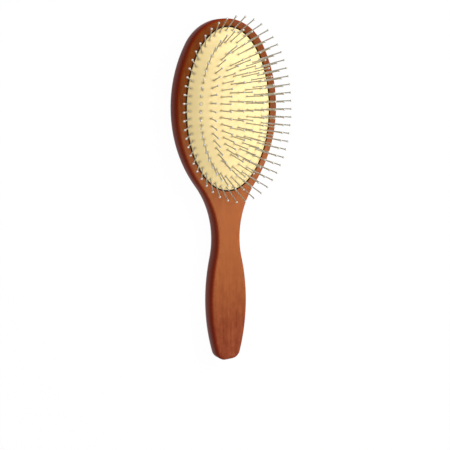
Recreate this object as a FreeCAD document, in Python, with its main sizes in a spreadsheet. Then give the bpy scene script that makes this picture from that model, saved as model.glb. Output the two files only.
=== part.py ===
import FreeCAD
import Part
import math
import os

import Sketcher
from FreeCAD import Placement, Rotation, Vector

# Oval wooden pin brush, lying on its flat back.
# +X runs across the head, +Y along the brush towards the crown, +Z up along the pins.
# The origin is on the resting face, straight below the middle of the cushion.

doc = FreeCAD.newDocument("pin_brush")

# Driving dimensions in millimetres. The powers, ratios, sides and counts are plain numbers

SIZES = {
    "overall_length": 236.0,
    "head_width": 79.4,
    "neck_width": 18.5,
    "handle_width": 29.0,
    "wood_thickness": 13.7,
    "crown_radius": 32.4,
    "flank_radius": 86.0,
    "neck_radius": 61.0,
    "handle_radius": 134.0,
    "corner_radius": 6.6,
    "butt_radius": 130.0,
    "front_rounding": 2.2,
    "back_rounding": 5.9,
    "cushion_setback": 60.3,
    "cushion_width": 65.0,
    "cushion_length": 109.0,
    "cushion_rise": 7.2,
    "rubber_thickness": 1.6,
    "recess_depth": 4.5,
    "rim_gap": 0.8,
    "lip_reach": 1.2,
    "lip_thickness": 1.5,
    "lip_clearance": 0.1,
    "pin_reach": 17.2,
    "pin_diameter": 0.95,
    "bead_diameter": 1.55,
    "head_diameter": 2.0,
    "head_height": 0.7,
    "head_drop": 0.45,
    "outer_pins_inset": 1.8,
    "second_pins_inset": 8.5,
    "third_pins_inset": 15.0,
    "fourth_pins_inset": 22.2,
    "inner_pins_inset": 29.2,
    "outer_pins_count": 54,
    "second_pins_count": 48,
    "third_pins_count": 36,
    "fourth_pins_count": 30,
    "inner_pins_count": 16,
    "end_inset_ratio": 1.1,
    "pin_lean": 1.75,
    "dome_power": 2.7,
    "pin_sides": 3,
    "cushion_sides": 36,
}

# Rings of pins, from the rim inwards. An inset is measured at the cushion's side

PIN_RINGS = ["outer_pins", "second_pins", "third_pins", "fourth_pins", "inner_pins"]

# Where the cushion's dome changes slope, as shares of its half width

DOME_SHARES = [1.0, 0.86, 0.66, 0.44, 0.17]

# Heights closer than this count as one, and a pocket takes away at least this volume

SAME_HEIGHT = 0.0001
LEAST_CUT = 1.0

sheet = doc.addObject("Spreadsheet::Sheet", "Sizes")
for row, (name, value) in enumerate(SIZES.items(), start=1):
    sheet.set("A%d" % row, name)
    sheet.set("B%d" % row, str(value))
    sheet.setAlias("B%d" % row, name)
doc.recompute()


def size(name):
    return float(getattr(sheet, name))


# Outline of the wood: ten tangent arcs, symmetric about the brush's length


def below(upper, distance, across):
    """Point at the given X, at that distance from the upper point and below it."""
    return Vector(across, upper.y - math.sqrt(distance**2 - (across - upper.x) ** 2), 0)


def right_crossing(first, first_radius, second, second_radius):
    """Right-hand crossing of two circles."""
    span = second - first
    along = (first_radius**2 - second_radius**2 + span.Length**2) / (2 * span.Length)
    aside = math.sqrt(first_radius**2 - along**2)
    unit = Vector(span).normalize()
    side = Vector(-unit.y, unit.x, 0)
    if side.x < 0:
        side = side * -1
    return first + unit * along + side * aside


def towards(centre, radius, target):
    """Point of a circle in the direction of the target."""
    return centre + (target - centre).normalize() * radius


def outline_circles():
    """Circles of the outline, anticlockwise from the butt: centre, radius, name, hollow or not."""
    top = size("cushion_setback")
    crown_radius = size("crown_radius")
    flank_radius = size("flank_radius")
    neck_radius = size("neck_radius")
    handle_radius = size("handle_radius")
    corner_radius = size("corner_radius")
    butt_radius = size("butt_radius")
    crown = Vector(0, top - crown_radius, 0)
    butt = Vector(0, top - size("overall_length") + butt_radius, 0)
    flank = below(crown, flank_radius - crown_radius, size("head_width") / 2 - flank_radius)
    neck = below(flank, flank_radius + neck_radius, size("neck_width") / 2 + neck_radius)
    handle = below(neck, neck_radius + handle_radius, size("handle_width") / 2 - handle_radius)
    corner = right_crossing(handle, handle_radius - corner_radius, butt, butt_radius - corner_radius)
    right = [
        (corner, corner_radius, "corner", False),
        (handle, handle_radius, "handle", False),
        (neck, neck_radius, "neck", True),
        (flank, flank_radius, "flank", False),
    ]
    left = [(Vector(-centre.x, centre.y, 0), *rest) for centre, *rest in reversed(right)]
    return (
        [(butt, butt_radius, "butt", False)]
        + right
        + [(crown, crown_radius, "crown", False)]
        + left
    )


def tangent_point(one, other):
    """Where two circles of the outline meet."""
    if one[3] != other[3]:
        return towards(one[0], one[1], other[0])
    large, small = (one, other) if one[1] > other[1] else (other, one)
    return towards(large[0], large[1], small[0])


def arc_of_circle(circle, start, end):
    """Anticlockwise arc of the circle from start to end."""
    centre, radius = circle[0], circle[1]
    first = math.atan2(start.y - centre.y, start.x - centre.x)
    last = math.atan2(end.y - centre.y, end.x - centre.x)
    if last <= first:
        last += 2 * math.pi
    return Part.ArcOfCircle(Part.Circle(centre, Vector(0, 0, 1), radius), first, last)


def plane_of(body, role):
    return next(item for item in body.Origin.OriginFeatures if item.Role == role)


def flat_sketch(body, name, height):
    """Sketch parallel to the resting face, at a height given as an expression."""
    sketch = body.newObject("Sketcher::SketchObject", name)
    sketch.AttachmentSupport = [(plane_of(body, "XY_Plane"), "")]
    sketch.MapMode = "FlatFace"
    sketch.setExpression("AttachmentOffset.Base.z", height)
    return sketch


def bind(sketch, constraint, name, expression):
    """Add a constraint and drive it from the sheet."""
    index = sketch.addConstraint(constraint)
    sketch.renameConstraint(index, name)
    sketch.setExpression("Constraints." + name, expression)


def outline_sketch(body):
    sketch = flat_sketch(body, "outline", "0")
    circles = outline_circles()
    count = len(circles)
    for index, circle in enumerate(circles):
        start = tangent_point(circles[index - 1], circle)
        end = tangent_point(circle, circles[(index + 1) % count])
        if circle[3]:
            start, end = end, start
        sketch.addGeometry(arc_of_circle(circle, start, end), False)
    for index, circle in enumerate(circles):
        following = (index + 1) % count
        leaving = 1 if circle[3] else 2
        entering = 2 if circles[following][3] else 1
        sketch.addConstraint(Sketcher.Constraint("Tangent", index, leaving, following, entering))
    for index, (centre, radius, name, hollow) in enumerate(circles):
        side = "right" if index < count // 2 else "left"
        label = "%s_%s_radius" % (name, side)
        bind(sketch, Sketcher.Constraint("Radius", index, radius), label, "Sizes.%s_radius" % name)
    place_centres(sketch, circles)
    return sketch


def place_centres(sketch, circles):
    """Tie the arcs' centres to the widths and the length."""
    heights = {
        "crown": "Sizes.cushion_setback - Sizes.crown_radius",
        "butt": "Sizes.cushion_setback - Sizes.overall_length + Sizes.butt_radius",
    }
    widths = {
        "flank": "Sizes.head_width / 2 - Sizes.flank_radius",
        "neck": "Sizes.neck_width / 2 + Sizes.neck_radius",
        "handle": "Sizes.handle_width / 2 - Sizes.handle_radius",
    }
    for index, (centre, radius, name, hollow) in enumerate(circles):
        if name in heights:
            sketch.addConstraint(Sketcher.Constraint("PointOnObject", index, 3, -2))
            constraint = Sketcher.Constraint("DistanceY", -1, 1, index, 3, centre.y)
            bind(sketch, constraint, name + "_height", heights[name])
        if name in widths:
            right = index < len(circles) // 2
            constraint = Sketcher.Constraint("DistanceX", -1, 1, index, 3, centre.x)
            label = "%s_%s_across" % (name, "right" if right else "left")
            expression = widths[name] if right else "-(%s)" % widths[name]
            bind(sketch, constraint, label, expression)


def oval_sketch(body, name, height, growth):
    """Sketch of the cushion's oval, grown all round by the expression."""
    sketch = flat_sketch(body, name, height)
    long_half = size("cushion_length") / 2
    short_half = size("cushion_width") / 2
    origin = Vector(0, 0, 0)
    oval = Part.Ellipse(Vector(0, long_half, 0), Vector(-short_half, 0, 0), origin)
    sketch.addGeometry(oval, False)
    sketch.exposeInternalGeometry(0)
    sketch.addConstraint(Sketcher.Constraint("Coincident", 0, 3, -1, 1))
    sketch.addConstraint(Sketcher.Constraint("Vertical", 1))
    length = Sketcher.Constraint("Distance", 1, 2 * long_half)
    width = Sketcher.Constraint("Distance", 2, 2 * short_half)
    bind(sketch, length, "oval_length", "Sizes.cushion_length + 2 * (%s)" % growth)
    bind(sketch, width, "oval_width", "Sizes.cushion_width + 2 * (%s)" % growth)
    return sketch


def edges_at(shape, height):
    """Names of the edges that lie flat at a height."""
    names = []
    for index, edge in enumerate(shape.Edges, start=1):
        box = edge.BoundBox
        if max(abs(box.ZMin - height), abs(box.ZMax - height)) < SAME_HEIGHT:
            names.append("Edge%d" % index)
    return names


def bevelled(body, base, name, height, width):
    """Bevel the edges of the base that lie at a height."""
    bevel = body.newObject("PartDesign::Chamfer", name)
    bevel.Base = (base, edges_at(base.Shape, height))
    bevel.setExpression("Size", width)
    doc.recompute()
    return bevel


def pocket(body, name, profile, depth, upwards=False):
    """Cut a profile down into the wood, or upwards from its own height."""
    before = body.Shape.Volume
    feature = body.newObject("PartDesign::Pocket", name)
    feature.Profile = profile
    feature.setExpression("Length", depth)
    feature.Reversed = upwards
    doc.recompute()
    if body.Shape.Volume > before - LEAST_CUT:
        raise RuntimeError(name + " cuts nothing")
    return feature


# Wooden body: head and handle in one piece, with an undercut recess for the cushion


def wooden_body():
    """The roundings are bevels tangent to their arc: three round the back, one round the front.

    A bevel at 45 degrees to an arc of radius r takes r (2 - sqrt 2) off each side. The two beside
    it touch the arc at 22.5 degrees to the faces, and each takes r (sqrt 2 - 1 - tan 11.25) more.
    """
    body = doc.addObject("PartDesign::Body", "wooden_body")
    body.Label = "wooden_body"
    blank = body.newObject("PartDesign::Pad", "blank")
    blank.Profile = outline_sketch(body)
    blank.setExpression("Length", "Sizes.wood_thickness")
    doc.recompute()
    wide = "Sizes.%s * (2 - sqrt(2))"
    narrow = "Sizes.back_rounding * (sqrt(2) - 1 - tan(11.25))"
    back = bevelled(body, blank, "back_bevel", 0, wide % "back_rounding")
    upper_edge = size("back_rounding") * (2 - math.sqrt(2))
    back = bevelled(body, back, "back_bevel_to_side", upper_edge, narrow)
    back = bevelled(body, back, "back_bevel_to_face", 0, narrow)
    bevelled(body, back, "front_bevel", size("wood_thickness"), wide % "front_rounding")
    mouth = oval_sketch(body, "mouth_oval", "Sizes.wood_thickness", "Sizes.rim_gap")
    pocket(body, "recess", mouth, "Sizes.recess_depth")
    floor = "Sizes.wood_thickness - Sizes.recess_depth"
    groove = oval_sketch(body, "groove_oval", floor, "Sizes.rim_gap + Sizes.lip_reach")
    groove_height = "Sizes.lip_thickness + Sizes.lip_clearance"
    pocket(body, "lip_groove", groove, groove_height, upwards=True)
    return body


# Solids with flat faces between stacked rings of corners


def ring_of_corners(sides, half_width, half_length, height):
    """Corners of an oval with few sides, or its middle alone where it has no width."""
    if half_width == 0:
        return [Vector(0, 0, height)]
    step = 2 * math.pi / sides
    return [
        Vector(half_width * math.cos(side * step), half_length * math.sin(side * step), height)
        for side in range(sides)
    ]


def flat_face(corners):
    return Part.Face(Part.makePolygon(corners + corners[:1]))


def stacked(rings):
    """Closed solid with flat faces from each ring to the next, from the bottom up."""
    faces = [flat_face(ring) for ring in (rings[0], rings[-1]) if len(ring) > 1]
    for lower, upper in zip(rings, rings[1:]):
        for side in range(len(lower)):
            after = (side + 1) % len(lower)
            top = [upper[after], upper[side]] if len(upper) > 1 else upper
            faces.append(flat_face([lower[side], lower[after]] + top))
    return Part.Solid(Part.Shell(faces))


def grouped(name, shape):
    feature = doc.addObject("Part::Feature", name)
    feature.Shape = shape
    return feature


# Rubber cushion: a domed skin whose rim stands on the recess's floor, with a lip in the groove


def cushion_stack(wall, drawn_in, lowered):
    """Solid up the (height, growth) steps of a wall, then over a dome.

    The dome is the cushion's own, drawn in at the edge and lowered by the distances given.
    """
    sides = int(size("cushion_sides"))
    half_width = size("cushion_width") / 2
    half_length = size("cushion_length") / 2
    rings = [
        ring_of_corners(sides, half_width + growth, half_length + growth, height)
        for height, growth in wall
    ]
    for share in DOME_SHARES:
        height = size("wood_thickness") + dome_rise(share) - lowered
        across = (half_width - drawn_in) * share
        along = (half_length - drawn_in) * share
        rings.append(ring_of_corners(sides, across, along, height))
    return stacked(rings)


def dome_rise(share):
    """Height of the dome over its edge, at a share of its half width."""
    return size("cushion_rise") * (1 - share ** size("dome_power"))


def cushion_outside():
    """The wall stands clear of the wood by the rim gap, and the lip reaches under the wood."""
    floor = size("wood_thickness") - size("recess_depth")
    lip_growth = size("rim_gap") + size("lip_reach") - size("lip_clearance")
    lip_top = floor + size("lip_thickness")
    return cushion_stack([(floor, lip_growth), (lip_top, lip_growth), (lip_top, 0)], 0, 0)


def cushion_hollow():
    """Air space under the skin, open at the bottom where the wood closes it.

    Its dome is drawn in at the edge so that the skin is as thick at the corner as elsewhere.
    """
    floor = size("wood_thickness") - size("recess_depth")
    rubber = size("rubber_thickness")
    edge_slope = size("cushion_rise") * size("dome_power") / (size("cushion_width") / 2)
    drawn_in = rubber * math.tan(math.atan(edge_slope) / 2)
    top = size("wood_thickness") - rubber
    return cushion_stack([(floor, -rubber), (top, -rubber)], drawn_in, rubber)


def cut(name, base, tool):
    feature = doc.addObject("Part::Cut", name)
    feature.Base = base
    feature.Tool = tool
    return feature


def rubber_cushion(holes):
    outside = grouped("cushion_outside", cushion_outside())
    skin = cut("cushion_skin", outside, grouped("cushion_hollow", cushion_hollow()))
    cushion = cut("rubber_cushion", skin, holes)
    doc.recompute()
    return cushion


# Steel pins: a flared head under the rubber, a straight shaft and a bead on the tip


def share_of_dome(across, along):
    return math.hypot(across / (size("cushion_width") / 2), along / (size("cushion_length") / 2))


def dome_point(across, along):
    """Point of the cushion's skin above a place on the plan."""
    height = size("wood_thickness") + dome_rise(share_of_dome(across, along))
    return Vector(across, along, height)


def pin_direction(across, along):
    """Pins lean outwards more than the skin slopes, by the lean ratio."""
    share = share_of_dome(across, along)
    power = size("dome_power")
    steepness = size("pin_lean") * size("cushion_rise") * power * share ** (power - 2)
    slope_across = steepness * across / (size("cushion_width") / 2) ** 2
    slope_along = steepness * along / (size("cushion_length") / 2) ** 2
    return Vector(slope_across, slope_along, 1)


def evenly_round(half_width, half_length, count):
    """Points at even steps along an oval, the first on its right-hand side."""
    fine_steps = 3600
    points = ring_of_corners(fine_steps, half_width, half_length, 0)
    travelled = [0.0]
    for point, following in zip(points, points[1:] + points[:1]):
        travelled.append(travelled[-1] + (following - point).Length)
    chosen = []
    index = 0
    for number in range(count):
        while travelled[index] < travelled[-1] * number / count:
            index += 1
        chosen.append(points[index])
    return chosen


def pin_places(ring):
    """Placements of one ring of pins, each with its foot on the skin."""
    count = int(size(ring + "_count"))
    inset = size(ring + "_inset")
    half_width = size("cushion_width") / 2 - inset
    half_length = size("cushion_length") / 2 - inset * size("end_inset_ratio")
    places = []
    for point in evenly_round(half_width, half_length, count):
        turn = Rotation(Vector(0, 0, 1), pin_direction(point.x, point.y))
        places.append(Placement(dome_point(point.x, point.y), turn))
    return places


def corner_radius_for(diameter):
    """Corner radius that gives a few-sided bar the section of a round one."""
    sides = size("pin_sides")
    section = math.pi * diameter**2 / 4
    return math.sqrt(2 * section / (sides * math.sin(2 * math.pi / sides)))


def bar(profile):
    """Few-sided bar along Z through (height, diameter) steps."""
    sides = int(size("pin_sides"))
    rings = []
    for height, diameter in profile:
        radius = corner_radius_for(diameter)
        rings.append(ring_of_corners(sides, radius, radius, height))
    return stacked(rings)


def pin_solid():
    """One pin with its foot on the skin at the origin, pointing up."""
    wire = size("pin_diameter")
    bead = size("bead_diameter")
    tip = size("pin_reach")
    head_top = -size("rubber_thickness") - size("head_drop")
    profile = [
        (head_top - size("head_height"), size("head_diameter")),
        (head_top, wire),
        (tip - bead, wire),
        (tip - bead / 2, bead),
        (tip, 0),
    ]
    return bar(profile)


def hole_solid():
    """Tool for the hole that a pin fills in the rubber."""
    reach = 2 * size("rubber_thickness")
    return bar([(-reach, size("pin_diameter")), (reach, size("pin_diameter"))])


def copies(solid, places):
    """The solid at each of the places, as one group."""
    placed = []
    for place in places:
        copy = solid.copy()
        copy.Placement = place
        placed.append(copy)
    return Part.makeCompound(placed)


# Assembly and files


def check_and_write(nodes):
    doc.recompute()
    for item in doc.Objects:
        if "Invalid" in item.State or "Error" in item.State:
            raise RuntimeError("%s did not build: %s" % (item.Name, item.State))
    for node in nodes:
        if node.Shape.isNull() or not node.Shape.isValid():
            raise RuntimeError(node.Label + " has no valid shape")
    os.makedirs("parts", exist_ok=True)
    for node in nodes:
        node.Shape.exportStep("parts/%s.step" % node.Label)
        print(node.Label, "solids", len(node.Shape.Solids), "volume", round(node.Shape.Volume, 1))


wood = wooden_body()
places = {ring: pin_places(ring) for ring in PIN_RINGS}
every_place = [place for ring in PIN_RINGS for place in places[ring]]
pin_holes = grouped("pin_holes", copies(hole_solid(), every_place))
cushion = rubber_cushion(pin_holes)
pins = [grouped(ring, copies(pin_solid(), places[ring])) for ring in PIN_RINGS]
check_and_write([wood, cushion] + pins)
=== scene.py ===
"""Looks of the oval wooden pin brush: lacquered body, rubber cushion and ball-tipped steel pins.

The brush lies on its flat back. +X runs across the head, +Y towards the crown, +Z up along
the pins. Sizes are in metres unless a name ends in _DEG, _RAD, _PX or _MM.
"""

import math

import bpy
import numpy as np
from mathutils import Matrix, Vector
from mathutils.geometry import tessellate_polygon


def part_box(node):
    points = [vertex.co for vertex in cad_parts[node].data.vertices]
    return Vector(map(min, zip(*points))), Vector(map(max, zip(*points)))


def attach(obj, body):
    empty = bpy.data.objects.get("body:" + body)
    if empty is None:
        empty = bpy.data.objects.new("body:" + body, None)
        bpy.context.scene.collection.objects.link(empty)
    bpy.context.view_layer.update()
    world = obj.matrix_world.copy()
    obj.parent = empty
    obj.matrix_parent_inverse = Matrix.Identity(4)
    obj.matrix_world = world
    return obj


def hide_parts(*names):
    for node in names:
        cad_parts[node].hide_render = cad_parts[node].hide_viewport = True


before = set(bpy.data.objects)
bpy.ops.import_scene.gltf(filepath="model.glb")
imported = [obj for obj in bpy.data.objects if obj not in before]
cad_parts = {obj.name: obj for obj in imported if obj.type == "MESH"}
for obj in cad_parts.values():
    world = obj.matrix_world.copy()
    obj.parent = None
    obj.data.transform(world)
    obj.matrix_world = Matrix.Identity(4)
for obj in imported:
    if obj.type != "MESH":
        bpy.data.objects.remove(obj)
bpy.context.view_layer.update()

MM = 0.001

# Places read from the frame

WOOD_LOW, WOOD_HIGH = (np.array(corner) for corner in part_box("wooden_body"))
FRONT = float(WOOD_HIGH[2])
CROWN = float(WOOD_HIGH[1])
BUTT = float(WOOD_LOW[1])
HEAD_HALF = float(WOOD_HIGH[0])

# Outline of the wood: radii of its arcs, half widths and roundings

CROWN_RADIUS = 32.4 * MM
FLANK_RADIUS = 86.0 * MM
NECK_RADIUS = 61.0 * MM
HANDLE_RADIUS = 134.0 * MM
CORNER_RADIUS = 6.6 * MM
BUTT_RADIUS = 130.0 * MM
NECK_HALF = 9.25 * MM
HANDLE_HALF = 14.5 * MM
FRONT_ROUNDING = 2.2 * MM
BACK_ROUNDING = 5.9 * MM
MOUTH_ROUNDING = 0.5 * MM

# Width of a strip of the flat faces beside each rounding, so that they shade as flat
SUPPORT = 0.35 * MM

# Steps of the outline's arcs from the butt to the crown, of the roundings and of the recess
ARC_STEPS = (6, 22, 44, 40, 80, 56)
FRONT_STEPS = 9
BACK_STEPS = 15
MOUTH_STEPS = 5
RECESS_CORNERS = 192
WOOD_CREASE_DEG = 50

# Where the stain of the front edge begins and is full, as turns of the rounding in radians
STAIN_BEGINS = 0.30
STAIN_FULL = 0.85

# Heights between which the lacquer gets its full gloss, down the side
GLOSS_BEGINS = 9.5 * MM
GLOSS_FULL = 4.5 * MM

# Cushion and recess

OVAL_HALF_WIDTH = 32.5 * MM
OVAL_HALF_LENGTH = 54.5 * MM
OVAL = np.array([OVAL_HALF_WIDTH, OVAL_HALF_LENGTH])
RECESS_DEPTH = 4.5 * MM
RIM_GAP = 0.8 * MM
LIP_REACH = 1.2 * MM
LIP_THICKNESS = 1.5 * MM
LIP_CLEARANCE = 0.1 * MM
RUBBER = 1.6 * MM
CUSHION_RISE = 7.2 * MM
DOME_POWER = 2.7
RIM_ROUNDING = 0.6 * MM
DIMPLE_DEPTH = 0.28 * MM
DIMPLE_RADIUS = 0.95 * MM
# Radius of the painted shade round each pin's hole
PIN_HOLE_RADIUS = 0.9 * MM
# Depth below the front over which painted shade darkens the cushion's wall in the gap
CREVICE_SHADE_FADE = 0.4 * MM

# Slope of the dome at the cushion's side edge, as an angle
EDGE_SLOPE_RAD = math.atan(CUSHION_RISE * DOME_POWER / OVAL_HALF_WIDTH)

# Points round each ring of the cushion, and where its rings stand, as shares of the dome from
# its middle to its edge: the smallest ring, then first, last and count outside and inside
CUSHION_CORNERS = 448
SMALLEST_SHARE = 0.004
DOME_SHARES = (0.012, 0.975, 128)
UNDERSIDE_SHARES = (0.97, 0.02, 24)
EDGE_STEPS = 8
RUBBER_CREASE_DEG = 60

# Pins, ring by ring from the rim inwards: node, count, inset from the cushion's side edge

PIN_RINGS = [
    ("outer_pins", 54, 1.8 * MM),
    ("second_pins", 48, 8.5 * MM),
    ("third_pins", 36, 15.0 * MM),
    ("fourth_pins", 30, 22.2 * MM),
    ("inner_pins", 16, 29.2 * MM),
]
END_INSET_RATIO = 1.1
PIN_REACH = 17.2 * MM
WIRE_RADIUS = 0.40 * MM
BEAD_RADIUS = 0.775 * MM
HEAD_RADIUS = 1.0 * MM
HEAD_HEIGHT = 0.7 * MM
HEAD_DROP = 0.45 * MM
PIN_LEAN = 1.75
PIN_SIDES = 8
BEAD_STEPS = 4
BEAD_TOP_RAD = math.pi / 8

# Short steps that an oval's length is measured in
FINE_STEPS = 3600


# Meshes from whole arrays


def mesh_object(name, vertices, faces, material, crease_deg=180):
    """Object at the origin from an array of points and a list of arrays of corner numbers."""
    mesh = bpy.data.meshes.new(name)
    corners = [face for group in faces for face in group.tolist()]
    mesh.from_pydata(vertices.tolist(), [], corners)
    mesh.shade_smooth()
    if crease_deg < 180:
        mesh.set_sharp_from_angle(angle=math.radians(crease_deg))
    mesh.materials.append(material)
    piece = bpy.data.objects.new(name, mesh)
    bpy.context.collection.objects.link(piece)
    return piece


def point_values(piece, name, values):
    """Give each point of the mesh a number that its material can read."""
    layer = piece.data.attributes.new(name, "FLOAT", "POINT")
    layer.data.foreach_set("value", np.asarray(values, dtype=np.float32))


def grid_faces(rows, columns, start=0):
    """Quads of a grid whose columns close round on themselves, corner numbers from start."""
    row, column = np.meshgrid(np.arange(rows - 1), np.arange(columns), indexing="ij")
    after = (column + 1) % columns
    corners = [
        row * columns + column,
        row * columns + after,
        (row + 1) * columns + after,
        (row + 1) * columns + column,
    ]
    return np.stack([start + corner.ravel() for corner in corners], axis=1)


def raised(plan, heights):
    """Rings of points: (X, Y) places, row by row, with a height for each row or each point."""
    heights = np.broadcast_to(heights, plan.shape[:2])
    return np.concatenate([plan, heights[..., None]], axis=2)


def fan(ring, tip):
    """Triangles from each side of a closed ring of corners to one tip."""
    return np.stack([ring, np.roll(ring, -1), np.full(len(ring), tip)], axis=1)


def flat_fill(points, loops, upwards):
    """Triangles of a flat region inside its first loop and outside the others, facing up or down.

    A triangle that turns the wrong way, by the sign of its sides' cross product, is reversed.
    """
    flat = [points[loop].tolist() for loop in loops]
    triangles = np.concatenate(loops)[np.array(tessellate_polygon(flat))]
    first, second, third = (points[triangles[:, corner], :2] for corner in range(3))
    one, two = (second - first).T, (third - first).T
    wrong = (one[0] * two[1] - one[1] * two[0] > 0) != upwards
    triangles[wrong] = triangles[wrong, ::-1]
    return triangles


# Outline of the wood


def below(upper, distance, across):
    """Centre at the given X, at that distance from the upper centre and below it."""
    return np.array([across, upper[1] - math.sqrt(distance**2 - (across - upper[0]) ** 2)])


def right_crossing(first, first_reach, second, second_reach):
    """Right-hand crossing of two circles.

    How far it lies along the line of the centres is the first reach squared, less the second
    squared, plus the distance squared, over twice the distance. Pythagoras gives the rest.
    """
    span = second - first
    length = np.hypot(*span)
    along = (first_reach**2 - second_reach**2 + length**2) / (2 * length)
    aside = math.sqrt(first_reach**2 - along**2)
    unit = span / length
    side = np.array([-unit[1], unit[0]])
    if side[0] < 0:
        side = -side
    return first + unit * along + side * aside


def outline_circles():
    """Circles of the outline's right half, from the butt to the crown, with hollow or not."""
    crown = np.array([0.0, CROWN - CROWN_RADIUS])
    butt = np.array([0.0, BUTT + BUTT_RADIUS])
    flank = below(crown, FLANK_RADIUS - CROWN_RADIUS, HEAD_HALF - FLANK_RADIUS)
    neck = below(flank, FLANK_RADIUS + NECK_RADIUS, NECK_HALF + NECK_RADIUS)
    handle = below(neck, NECK_RADIUS + HANDLE_RADIUS, HANDLE_HALF - HANDLE_RADIUS)
    corner = right_crossing(
        handle, HANDLE_RADIUS - CORNER_RADIUS, butt, BUTT_RADIUS - CORNER_RADIUS
    )
    return [
        (butt, BUTT_RADIUS, False),
        (corner, CORNER_RADIUS, False),
        (handle, HANDLE_RADIUS, False),
        (neck, NECK_RADIUS, True),
        (flank, FLANK_RADIUS, False),
        (crown, CROWN_RADIUS, False),
    ]


def outward_angle(one, other):
    """Direction of the outline's outward normal where two of its circles meet.

    It runs along the line from one centre to the other, and the other way where the first
    circle is hollow, or where the second is round and larger.
    """
    centre, radius, hollow = one
    other_centre, other_radius, other_hollow = other
    span = other_centre - centre
    if hollow or (not other_hollow and other_radius > radius):
        span = -span
    return math.atan2(span[1], span[0])


def outline():
    """Points and outward normals round the wood, anticlockwise from the middle of the butt.

    Each arc is its centre plus its radius along the turning normal, and the left half mirrors
    the right one.
    """
    circles = outline_circles()
    angles = [-math.pi / 2]
    for one, other in zip(circles, circles[1:]):
        angles.append(outward_angle(one, other))
    angles.append(math.pi / 2)
    points, normals = [], []
    arcs = zip(circles, angles, angles[1:], ARC_STEPS)
    for (centre, radius, hollow), first, last, count in arcs:
        turn = np.linspace(first, last, count, endpoint=False)
        normal = np.stack([np.cos(turn), np.sin(turn)], axis=1)
        points.append(centre + normal * (-radius if hollow else radius))
        normals.append(normal)
    top = np.array([[0.0, CROWN]])
    upright = np.array([[0.0, 1.0]])
    right_points = np.vstack(points + [top])
    right_normals = np.vstack(normals + [upright])
    mirror = np.array([-1.0, 1.0])
    left_points = right_points[-2:0:-1] * mirror
    left_normals = right_normals[-2:0:-1] * mirror
    return np.vstack([right_points, left_points]), np.vstack([right_normals, left_normals])


def unit_ring(count):
    """Even turns of a circle of radius 1, as (cos t, sin t)."""
    turn = np.arange(count) * 2 * math.pi / count
    return np.stack([np.cos(turn), np.sin(turn)], axis=1)


def oval_ring(count, growth, height):
    """Cushion's oval grown all round, (half width cos t, half length sin t), at one height."""
    return np.column_stack([(OVAL + growth) * unit_ring(count), np.full(count, height)])


# Wooden body


def quarter(count):
    """Even angles over a quarter turn."""
    return np.linspace(0, math.pi / 2, count)


def edge_profile():
    """(inset, height, stain) steps over the wood's edge: front rounding, side, back rounding.

    The edge takes more stain than the faces: evenly more from where the stain begins to where
    it is full on the front rounding, and with the squared cosine of the turn on the back one.
    """
    front = quarter(FRONT_STEPS)
    back = quarter(BACK_STEPS)
    front_steps = np.stack(
        [
            FRONT_ROUNDING * (1 - np.sin(front)),
            FRONT - FRONT_ROUNDING * (1 - np.cos(front)),
            np.clip((front - STAIN_BEGINS) / (STAIN_FULL - STAIN_BEGINS), 0, 1),
        ],
        axis=1,
    )
    back_steps = np.stack(
        [
            BACK_ROUNDING * (1 - np.cos(back)),
            BACK_ROUNDING * (1 - np.sin(back)),
            np.cos(back) ** 2,
        ],
        axis=1,
    )
    first = [[FRONT_ROUNDING + SUPPORT, FRONT, 0.0]]
    last = [[BACK_ROUNDING + SUPPORT, 0.0, 0.0]]
    return np.vstack([first, front_steps, back_steps, last])


def recess_profile():
    """(growth, height, painted shade) steps of the recess: rounded mouth, wall, groove, floor.
    The painted shade darkens the wood down the mouth and fully over the wall and groove.

    Growth is measured out from the cushion's oval, which the mouth clears by the rim gap.
    """
    floor = FRONT - RECESS_DEPTH
    groove_top = floor + LIP_THICKNESS + LIP_CLEARANCE
    mouth = quarter(MOUTH_STEPS)
    mouth_steps = np.stack(
        [
            RIM_GAP + MOUTH_ROUNDING * (1 - np.sin(mouth)),
            FRONT - MOUTH_ROUNDING * (1 - np.cos(mouth)),
            np.sin(mouth) ** 2,
        ],
        axis=1,
    )
    groove = RIM_GAP + LIP_REACH
    first = [[RIM_GAP + MOUTH_ROUNDING + SUPPORT, FRONT, 0.0]]
    rest = [[RIM_GAP, groove_top, 1.0], [groove, groove_top, 1.0], [groove, floor, 1.0]]
    return np.vstack([first, mouth_steps, rest])


def wooden_body(material):
    """Edge bands follow the outline's inset curves, flat fills close the front, back and recess.

    A point of the edge is the outline's point less its normal times the profile's inset, at the
    profile's height. A point of the recess is the cushion's oval grown by the profile's growth.
    """
    points, normals = outline()
    around = len(points)
    profile = edge_profile()
    plan = points[None] - normals[None] * profile[:, None, :1]
    band = raised(plan, profile[:, 1:2]).reshape(-1, 3)
    recess = recess_profile()
    hollow = [oval_ring(RECESS_CORNERS, growth, height) for growth, height in recess[:, :2]]
    start = len(band)
    vertices = np.vstack([band] + hollow)
    front_loop = np.arange(around)
    back_loop = np.arange(start - around, start)
    mouth_loop = np.arange(start, start + RECESS_CORNERS)
    floor_loop = np.arange(len(vertices) - RECESS_CORNERS, len(vertices))
    faces = [
        grid_faces(len(profile), around)[:, ::-1],
        grid_faces(len(recess), RECESS_CORNERS, start),
        flat_fill(vertices, [front_loop, mouth_loop], True),
        flat_fill(vertices, [back_loop], False),
        flat_fill(vertices, [floor_loop], True),
    ]
    piece = mesh_object("lacquered_body", vertices, faces, material, WOOD_CREASE_DEG)
    in_recess = len(vertices) - len(band)
    edge_stain = np.concatenate([np.repeat(profile[:, 2], around), np.zeros(in_recess)])
    # Painted shade down the recess, from none on the front to full on the wall and groove
    crevice = np.concatenate([np.zeros(len(band)), np.repeat(recess[:, 2], RECESS_CORNERS)])
    point_values(piece, "edge_stain", edge_stain)
    point_values(piece, "crevice", crevice)
    gloss = (GLOSS_BEGINS - vertices[:, 2]) / (GLOSS_BEGINS - GLOSS_FULL)
    point_values(piece, "side_gloss", np.clip(gloss, 0, 1))
    return piece


# Pins


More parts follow.
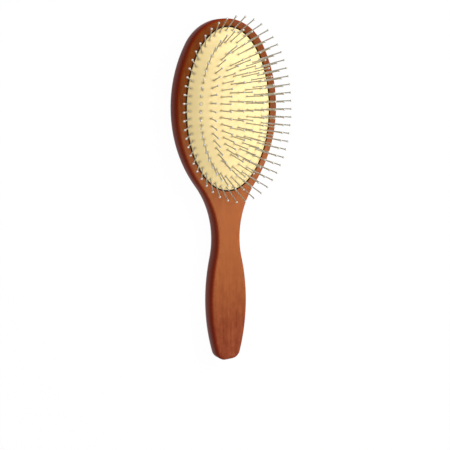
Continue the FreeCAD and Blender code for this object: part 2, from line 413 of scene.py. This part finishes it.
def dome_rise(share):
    """Height of the dome over its edge: rise times one less the share to the dome's power."""
    return CUSHION_RISE * (1 - share**DOME_POWER)


def share_of_dome(plan):
    """Length of (X over half width, Y over half length): 0 in the middle, 1 at the edge."""
    return np.hypot(*(plan / OVAL).T)


def evenly_round(halves, count):
    """Points at even steps of length along an oval, the first on its right-hand side."""
    turn = np.linspace(0, 2 * math.pi, FINE_STEPS + 1)
    fine = halves * np.stack([np.cos(turn), np.sin(turn)], axis=1)
    steps = np.hypot(*np.diff(fine, axis=0).T)
    travelled = np.concatenate([[0], np.cumsum(steps)])
    wanted = np.arange(count) * travelled[-1] / count
    return np.stack([np.interp(wanted, travelled, fine[:, axis]) for axis in (0, 1)], axis=1)


def ring_feet(count, inset):
    """Feet of one ring of pins on the skin, and the directions that they lean in.

    A direction is up, plus outwards by the dome's slope at the foot times the lean ratio.
    """
    plan = evenly_round(OVAL - inset * np.array([1.0, END_INSET_RATIO]), count)
    share = share_of_dome(plan)
    feet = np.column_stack([plan, FRONT + dome_rise(share)])
    steepness = PIN_LEAN * CUSHION_RISE * DOME_POWER * share ** (DOME_POWER - 2)
    slopes = steepness[:, None] * plan / OVAL**2
    directions = np.column_stack([slopes, np.ones(count)])
    return feet, directions / np.linalg.norm(directions, axis=1)[:, None]


def pin_profile():
    """(height, radius) steps of a pin: flared head, wire, and a ball on the tip.

    The ball's points are its centre plus its radius times the turn's cosine, at the radius
    times the turn's sine, from where the wire meets the ball.
    """
    head = -RUBBER - HEAD_DROP
    ball = PIN_REACH - BEAD_RADIUS
    neck = math.acos(-math.sqrt(1 - (WIRE_RADIUS / BEAD_RADIUS) ** 2))
    turn = np.linspace(neck, BEAD_TOP_RAD, BEAD_STEPS)
    ball_steps = np.stack(
        [ball + BEAD_RADIUS * np.cos(turn), BEAD_RADIUS * np.sin(turn)], axis=1
    )
    foot = [[head - HEAD_HEIGHT, HEAD_RADIUS], [head, WIRE_RADIUS]]
    return np.vstack([foot, ball_steps])


def pin_ring(name, count, inset, material):
    """One ring of pins, each its profile turned about its own leaning axis.

    A point is the foot plus the height along the axis plus the radius along a spoke, which is
    the turn's cosine of one direction across the axis plus its sine of the other.
    """
    feet, axes = ring_feet(count, inset)
    profile = pin_profile()
    aside = np.cross(axes, [0.0, 1.0, 0.0])
    aside /= np.linalg.norm(aside, axis=1)[:, None]
    across = np.cross(axes, aside)
    spoke_turns = unit_ring(PIN_SIDES)[None]
    spokes = spoke_turns[..., :1] * aside[:, None] + spoke_turns[..., 1:] * across[:, None]
    centres = feet[:, None] + profile[None, :, :1] * axes[:, None]
    walls = centres[:, :, None] + profile[None, :, 1:, None] * spokes[:, None]
    tips = feet[:, None] + PIN_REACH * axes[:, None]
    walls = walls.reshape(count, -1, 3)
    vertices = np.concatenate([walls, tips], axis=1)
    size = vertices.shape[1]
    foot_ring = np.arange(PIN_SIDES)
    top_ring = foot_ring + (len(profile) - 1) * PIN_SIDES
    one_pin = [
        grid_faces(len(profile), PIN_SIDES),
        fan(top_ring, size - 1),
        foot_ring[None, ::-1],
    ]
    firsts = (np.arange(count) * size)[:, None, None]
    faces = [(group + firsts).reshape(-1, group.shape[1]) for group in one_pin]
    piece = mesh_object("steel_" + name, vertices.reshape(-1, 3), faces, material)
    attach(piece, "root")
    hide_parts(name)
    return feet


# Rubber cushion


def dome_plan(shares, halves):
    """(X, Y) places of the dome's rings: each share, times the halves, times (cos t, sin t)."""
    return shares[:, None, None] * unit_ring(CUSHION_CORNERS)[None] * halves


def dome_outside(feet):
    """Rings of the dome's outside, and the distance from each point to the nearest pin's foot.

    A point's height is the front's plus the dome's rise, less a round dimple at each pin that
    fades as a Gaussian of the distance.
    """
    shares = np.concatenate([[SMALLEST_SHARE], np.linspace(*DOME_SHARES)])
    plan = dome_plan(shares, OVAL)
    nearest = np.full(plan.shape[:2], np.inf)
    for foot in feet:
        distance = np.hypot(plan[..., 0] - foot[0], plan[..., 1] - foot[1])
        nearest = np.minimum(nearest, distance)
    dimple = DIMPLE_DEPTH * np.exp(-((nearest / DIMPLE_RADIUS) ** 2))
    return raised(plan, FRONT + dome_rise(shares)[:, None] - dimple), nearest


def rim_rings():
    """Rings from the dome's edge down outside, round the lip and foot, and up inside.

    The edge is an arc that turns from the dome's slope to upright.
    """
    turns = np.linspace(EDGE_SLOPE_RAD, math.pi / 2, EDGE_STEPS)
    edge_growth = -RIM_ROUNDING * (1 - np.sin(turns))
    edge_start = FRONT + dome_rise(1 + edge_growth[0] / OVAL_HALF_WIDTH)
    edge_height = edge_start - RIM_ROUNDING * (math.cos(EDGE_SLOPE_RAD) - np.cos(turns))
    floor = FRONT - RECESS_DEPTH
    lip_top = floor + LIP_THICKNESS
    lip = RIM_GAP + LIP_REACH - LIP_CLEARANCE
    steps = [
        *zip(edge_growth, edge_height),
        (0, lip_top),
        (lip, lip_top),
        (lip, floor),
        (-RUBBER, floor),
        (-RUBBER, FRONT - RUBBER),
    ]
    return np.array([oval_ring(CUSHION_CORNERS, growth, height) for growth, height in steps])


def dome_inside():
    """Rings of the dome's inside: the same dome, drawn in and lowered by the rubber."""
    shares = np.linspace(*UNDERSIDE_SHARES)
    plan = dome_plan(shares, OVAL - RUBBER * math.tan(EDGE_SLOPE_RAD / 2))
    return raised(plan, FRONT + dome_rise(shares)[:, None] - RUBBER)


def cushion(feet, material):
    """Moulded skin in rings from the middle of the dome, round the rim, to the middle inside."""
    outside, nearest = dome_outside(feet)
    rings = np.concatenate([outside, rim_rings(), dome_inside()])
    rows = len(rings)
    summit = FRONT + dome_rise(0.0)
    vertices = np.vstack([rings.reshape(-1, 3), [[0, 0, summit], [0, 0, summit - RUBBER]]])
    outer_ring = np.arange(CUSHION_CORNERS)
    inner_ring = outer_ring + (rows - 1) * CUSHION_CORNERS
    outer_tip = rows * CUSHION_CORNERS
    faces = [
        grid_faces(rows, CUSHION_CORNERS)[:, ::-1],
        fan(outer_ring, outer_tip),
        fan(inner_ring[::-1], outer_tip + 1),
    ]
    piece = mesh_object("domed_cushion", vertices, faces, material, RUBBER_CREASE_DEG)
    # Painted shade round each pin's hole, fading as a Gaussian of the distance to the pin's foot
    closeness = np.zeros(len(vertices))
    closeness[: nearest.size] = np.exp(-((nearest.ravel() / PIN_HOLE_RADIUS) ** 2))
    point_values(piece, "pin_hole", closeness)
    # Painted shade on the cushion's wall, growing below the front down into the gap
    point_values(piece, "crevice", np.clip((FRONT - vertices[:, 2]) / CREVICE_SHADE_FADE, 0, 1))
    return piece


# Shader maths


class Socket:
    """A node's output that Python's operators work on."""

    def __init__(self, tree, link):
        self.tree = tree
        self.link = link

    def maths(self, operation, *others):
        """This output and the others, joined by a maths node."""
        return self.tree.node("ShaderNodeMath", {"operation": operation}, [self, *others])

    def __add__(self, other):
        return self.maths("ADD", other)

    def __radd__(self, other):
        return self.maths("ADD", other)

    def __sub__(self, other):
        return self.maths("SUBTRACT", other)

    def __rsub__(self, other):
        return self.tree.node("ShaderNodeMath", {"operation": "SUBTRACT"}, [other, self])

    def __mul__(self, other):
        return self.maths("MULTIPLY", other)

    def __rmul__(self, other):
        return self.maths("MULTIPLY", other)

    def clamped(self):
        """The same value, kept between 0 and 1."""
        return self.maths("MAXIMUM", 0.0).maths("MINIMUM", 1.0)


class Nodes:
    """A node tree, and the one way in which nodes are added to it."""

    def __init__(self, tree):
        self.nodes = tree.nodes
        self.links = tree.links
        self.nodes.clear()

    def node(self, kind, settings=None, inputs=None, output=0):
        """New node: settings first, then values or links of its sockets, by name or order."""
        made = self.nodes.new(kind)
        for key, value in (settings or {}).items():
            if key == "stops":
                self.set_stops(made.color_ramp.elements, value)
            else:
                setattr(made, key, value)
        inputs = inputs or {}
        pairs = inputs.items() if isinstance(inputs, dict) else enumerate(inputs)
        for key, value in pairs:
            if isinstance(value, Socket):
                self.links.new(value.link, made.inputs[key])
            else:
                made.inputs[key].default_value = value
        return Socket(self, made.outputs[output]) if len(made.outputs) else None

    def set_stops(self, stops, wanted):
        """Give a ramp the wanted (place, colour) stops."""
        while len(stops) < len(wanted):
            stops.new(0.5)
        for stop, (place, colour) in zip(stops, wanted):
            stop.position = place
            stop.color = (*colour, 1)

    def seen(self):
        """1 for what the camera, a reflection or a clear part shows, 0 for light on the brush."""
        camera = self.node("ShaderNodeLightPath", output="Is Camera Ray")
        glossy = self.node("ShaderNodeLightPath", output="Is Glossy Ray")
        through = self.node("ShaderNodeLightPath", output="Is Transmission Ray")
        return (camera + glossy + through).clamped()


class Finish(Nodes):
    """A material and the nodes that it is made of."""

    def __init__(self, name):
        self.material = bpy.data.materials.new(name)
        self.material.use_nodes = True
        super().__init__(self.material.node_tree)

    def place(self):
        """The object's own coordinates."""
        return self.node("ShaderNodeTexCoord", output="Object")

    def noise(self, scales, detail, roughness):
        """Noise over the object's own coordinates, with a scale for each axis."""
        spread = self.node("ShaderNodeMapping", None, {"Vector": self.place(), "Scale": scales})
        inputs = {"Vector": spread, "Scale": 1.0, "Detail": detail, "Roughness": roughness}
        return self.node("ShaderNodeTexNoise", None, inputs)

    def attribute(self, name):
        """A number that point_values gave to the mesh."""
        return self.node("ShaderNodeAttribute", {"attribute_name": name}, output="Fac")

    def ramp(self, factor, stops):
        """Colour that runs through the (place, colour) stops."""
        return self.node("ShaderNodeValToRGB", {"stops": stops}, {"Fac": factor})

    def mix(self, factor, one, other, blend="MIX"):
        """Mix of two colours, which go into the sockets numbered 6 and 7 of the node."""
        settings = {"data_type": "RGBA", "blend_type": blend}
        first, second = (
            colour if isinstance(colour, Socket) else (*colour, 1) for colour in (one, other)
        )
        return self.node("ShaderNodeMix", settings, {0: factor, 6: first, 7: second}, output=2)

    def bump(self, height, strength, distance):
        """Normal of a finely uneven surface."""
        inputs = {"Height": height, "Strength": strength, "Distance": distance}
        return self.node("ShaderNodeBump", None, inputs)

    def surface(self, inputs):
        """Make the material a principled surface with these inputs."""
        self.show(self.node("ShaderNodeBsdfPrincipled", None, inputs))

    def show(self, shader):
        """Make the shader what the material shows."""
        self.node("ShaderNodeOutputMaterial", None, {"Surface": shader})


# Finishes, with colours as linear red, green and blue

# Noises: scales along X, Y and Z in cells per metre, then detail and roughness
STREAKS = ((420.0, 14.0, 420.0), 4.0, 0.6)
FINE_GRAIN = ((1500.0, 90.0, 1500.0), 3.0, 0.6)
BANDS = ((60.0, 5.0, 60.0), 2.0, 0.5)
MOTTLE = ((400.0, 220.0, 400.0), 3.0, 0.6)
CLOUD = ((60.0, 60.0, 60.0), 3.0, 0.6)
MOULD_GRAIN = ((1400.0, 1400.0, 1400.0), 2.0, 0.5)
DRAW_MARKS = ((1800.0, 1800.0, 300.0), 2.0, 0.5)

# Weights of the wood's noises in its tone, and the part of the fine grain that shows as pores
STREAK_WEIGHT = 0.26
FINE_WEIGHT = 0.28
BAND_WEIGHT = 0.16
MOTTLE_WEIGHT = 0.30
PORE_GAIN = 3.2
PORE_LEVEL = 1.75

# Colours of the wood, and how far each covers what lies under it
WOOD_TONES = [
    (0.38, (0.165, 0.034, 0.011)),
    (0.50, (0.232, 0.057, 0.018)),
    (0.62, (0.310, 0.087, 0.030)),
]
# Painted shade of the pins over the head: a tint that darkens the head's wood from the neck up
PAINTED_HEAD_SHADE = (0.74, 0.65, 0.12)
BUTT_TINT = (1.0, 0.88, 1.15)
# Painted light: a paler colour round the waist and neck, where the light falls brightest
PAINTED_WAIST_LIGHT = (0.430, 0.137, 0.042)
WAIST_LIGHT_SHARE = 0.55
PORE_BROWN = (0.10, 0.022, 0.005)
PORE_SHARE = 0.22
EDGE_RED = (0.27, 0.020, 0.004)
EDGE_SHARE = 0.85
# Painted shade: near-black brown over the recess wall and groove, where shade falls in the gap
WOOD_CREVICE_SHADE = (0.030, 0.009, 0.002)

# Where painted shade on the head, painted light at the waist and the redder butt change the wood,
# and how far each reaches
WAIST = -72.0 * MM
WAIST_REACH = 77.0 * MM
HEAD_BEGINS = -52.0 * MM
HEAD_FADE = 45.5 * MM
BUTT_BEGINS = -115.0 * MM
BUTT_FADE = 62.5 * MM

# Colours of the rubber and the steel
CREAM = [(0.82, 0.640, 0.295), (0.88, 0.700, 0.335)]
# Painted shade in the dimple round each pin's foot
PAINTED_PIN_HOLE_SHADE = (0.30, 0.22, 0.09)
PIN_HOLE_SHARE = 0.75
# Painted shade on the cushion's wall down in the gap round it
RUBBER_CREVICE_SHADE = (0.040, 0.014, 0.004)
STEEL = [(0.41, 0.40, 0.37), (0.50, 0.49, 0.45)]


def lacquered_wood():
    """Reddish-brown stained wood under a clear lacquer: streaks, pores, bands and mottle.

    The head is darkened by painted shade of the pins over it, the waist is paler with painted
    light and the butt is redder. The edges take more stain, the recess is darkened with
    painted shade, and the lacquer shines most low on the sides.
    """
    wood = Finish("lacquered_wood")
    streaks = wood.noise(*STREAKS)
    fine = wood.noise(*FINE_GRAIN)
    bands = wood.noise(*BANDS)
    mottle = wood.noise(*MOTTLE)
    shades = streaks * STREAK_WEIGHT + fine * FINE_WEIGHT + bands * BAND_WEIGHT
    tone = wood.ramp(shades + mottle * MOTTLE_WEIGHT, WOOD_TONES)
    along = wood.node("ShaderNodeSeparateXYZ", None, [wood.place()], output="Y")
    # Painted shade: the head's wood is darkened where this rises
    on_head = ((along - HEAD_BEGINS) * (1 / HEAD_FADE)).clamped()
    on_butt = ((BUTT_BEGINS - along) * (1 / BUTT_FADE)).clamped()
    # Painted light, paler round the waist and fading towards the head and the butt
    from_waist = (along - WAIST) * (1 / WAIST_REACH)
    waist_light = (1.0 - from_waist * from_waist).clamped()
    pores = (fine * PORE_GAIN - PORE_LEVEL).clamped()
    toned_and_shaded = wood.mix(on_head, tone, PAINTED_HEAD_SHADE, "MULTIPLY")
    toned_and_shaded = wood.mix(on_butt, toned_and_shaded, BUTT_TINT, "MULTIPLY")
    waist_lit = wood.mix(waist_light * WAIST_LIGHT_SHARE, toned_and_shaded, PAINTED_WAIST_LIGHT)
    grained = wood.mix(pores * PORE_SHARE, waist_lit, PORE_BROWN)
    stained = wood.mix(wood.attribute("edge_stain") * EDGE_SHARE, grained, EDGE_RED)
    wood.surface(
        {
            # Painted shade: the recess is darkened near black
            "Base Color": wood.mix(wood.attribute("crevice"), stained, WOOD_CREVICE_SHADE),
            "Roughness": 0.36 + 0.12 * streaks,
            "Normal": wood.bump(streaks * 0.4 + fine * 0.6, 0.05, 0.2 * MM),
            "Specular IOR Level": 0.0,
            "Coat Weight": 0.09 + 0.60 * wood.attribute("side_gloss"),
            "Coat Roughness": 0.26,
        }
    )
    return wood.material


def cream_rubber():
    """Cream moulded rubber, with painted shade at the pins' holes and down in the gap round it."""
    rubber = Finish("cream_rubber")
    cloud = rubber.noise(*CLOUD)
    grain = rubber.noise(*MOULD_GRAIN)
    # Painted shade where the pins go in
    hole_shade = rubber.attribute("pin_hole") * PIN_HOLE_SHARE
    hole_shaded = rubber.mix(hole_shade, rubber.mix(cloud, *CREAM), PAINTED_PIN_HOLE_SHADE)
    rubber.surface(
        {
            "Base Color": rubber.mix(rubber.attribute("crevice"), hole_shaded, RUBBER_CREVICE_SHADE),
            "Roughness": 0.52 + 0.08 * cloud,
            "Normal": rubber.bump(grain, 0.08, 0.1 * MM),
            "Specular IOR Level": 0.4,
        }
    )
    return rubber.material


def pin_steel():
    """Drawn wire with faint draw marks."""
    steel = Finish("pin_steel")
    marks = steel.noise(*DRAW_MARKS)
    steel.surface(
        {
            "Base Color": steel.mix(marks, *STEEL),
            "Metallic": 1.0,
            "Roughness": 0.50 + 0.1 * marks,
        }
    )
    return steel.material


# Surroundings

WHITE = (1, 1, 1, 1)
FLOOR_GREY = (0.3, 0.3, 0.3, 1)
FLOOR_GLOW = 1.05
FLOOR_GLOW_SHARE = 0.93
FLOOR_HALF = 3.0
WORLD_LIGHT = 0.30

# Lamps: name, place, size and watts
LAMPS = [
    ("key", (0.33, 0.22, 0.38), 0.30, 2.4),
    ("overhead", (0.02, -0.06, 0.62), 0.50, 2.2),
    ("sheen", (0.342, -0.041, 0.418), 0.12, 0.6),
]
LAMP_TARGET = Vector((0.0, -0.04, 0.0))


def pale_floor():
    """Floor that the camera and reflections see as white, with the brush's soft shadow."""
    floor = Finish("pale_floor")
    plain = floor.node("ShaderNodeBsdfDiffuse", None, {"Color": FLOOR_GREY})
    lit = floor.node("ShaderNodeEmission", None, {"Color": WHITE, "Strength": FLOOR_GLOW})
    share = floor.seen() * FLOOR_GLOW_SHARE
    floor.show(floor.node("ShaderNodeMixShader", None, [share, plain, lit]))
    corners = FLOOR_HALF * np.array([(-1, -1, 0), (1, -1, 0), (1, 1, 0), (-1, 1, 0)])
    mesh_object("floor", corners, [np.array([[0, 1, 2, 3]])], floor.material)


def soft_lamp(name, place, size, watts):
    """Square soft white light aimed at the lower part of the head."""
    data = bpy.data.lights.new(name, "AREA")
    data.size = size
    data.energy = watts
    lamp = bpy.data.objects.new(name, data)
    bpy.context.collection.objects.link(lamp)
    lamp.location = place
    lamp.rotation_euler = (LAMP_TARGET - Vector(place)).to_track_quat("-Z", "Y").to_euler()


def world_light():
    """White surroundings for the camera and for reflections, and a weaker light from all round."""
    world = bpy.data.worlds.new("studio")
    bpy.context.scene.world = world
    world.use_nodes = True
    studio = Nodes(world.node_tree)
    level = WORLD_LIGHT + (1.0 - WORLD_LIGHT) * studio.seen()
    background = studio.node("ShaderNodeBackground", None, {"Color": WHITE, "Strength": level})
    studio.node("ShaderNodeOutputWorld", None, {"Surface": background})


# Camera, fitted to the photograph

CAMERA_PIVOT = Vector((0.0, (CROWN + BUTT) / 2, FRONT))

# The camera's place from the pivot, along the camera's own axes
CAMERA_OFFSET = Vector((-0.00296, -0.0207, 0.6052))
CAMERA_YAW_DEG = 31.72
CAMERA_PITCH_DEG = 10.17
CAMERA_ROLL_DEG = 0.27
FOCAL_PX = 883.3
IMAGE_PX = 450
SENSOR_MM = 36.0
CLIP_START = 0.05


def camera():
    """Camera turned about the brush's middle by yaw about Y, pitch about X and roll about Z."""
    yaw = Matrix.Rotation(math.radians(CAMERA_YAW_DEG), 3, "Y")
    pitch = Matrix.Rotation(math.radians(CAMERA_PITCH_DEG), 3, "X")
    roll = Matrix.Rotation(math.radians(CAMERA_ROLL_DEG), 3, "Z")
    turned = (roll @ pitch @ yaw).transposed()
    data = bpy.data.cameras.new("camera")
    data.sensor_width = SENSOR_MM
    data.lens = SENSOR_MM * FOCAL_PX / IMAGE_PX
    data.clip_start = CLIP_START
    piece = bpy.data.objects.new("camera", data)
    bpy.context.collection.objects.link(piece)
    place = CAMERA_PIVOT + turned @ CAMERA_OFFSET
    piece.matrix_world = Matrix.Translation(place) @ turned.to_4x4()
    bpy.context.scene.camera = piece


# Assembly

bpy.context.scene.view_settings.view_transform = "Standard"
camera()
for lamp in LAMPS:
    soft_lamp(*lamp)
world_light()
pale_floor()

wood = wooden_body(lacquered_wood())
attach(wood, "root")
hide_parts("wooden_body")

steel_finish = pin_steel()
all_feet = [pin_ring(name, count, inset, steel_finish) for name, count, inset in PIN_RINGS]

rubber = cushion(np.vstack(all_feet), cream_rubber())
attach(rubber, "root")
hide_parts("rubber_cushion")
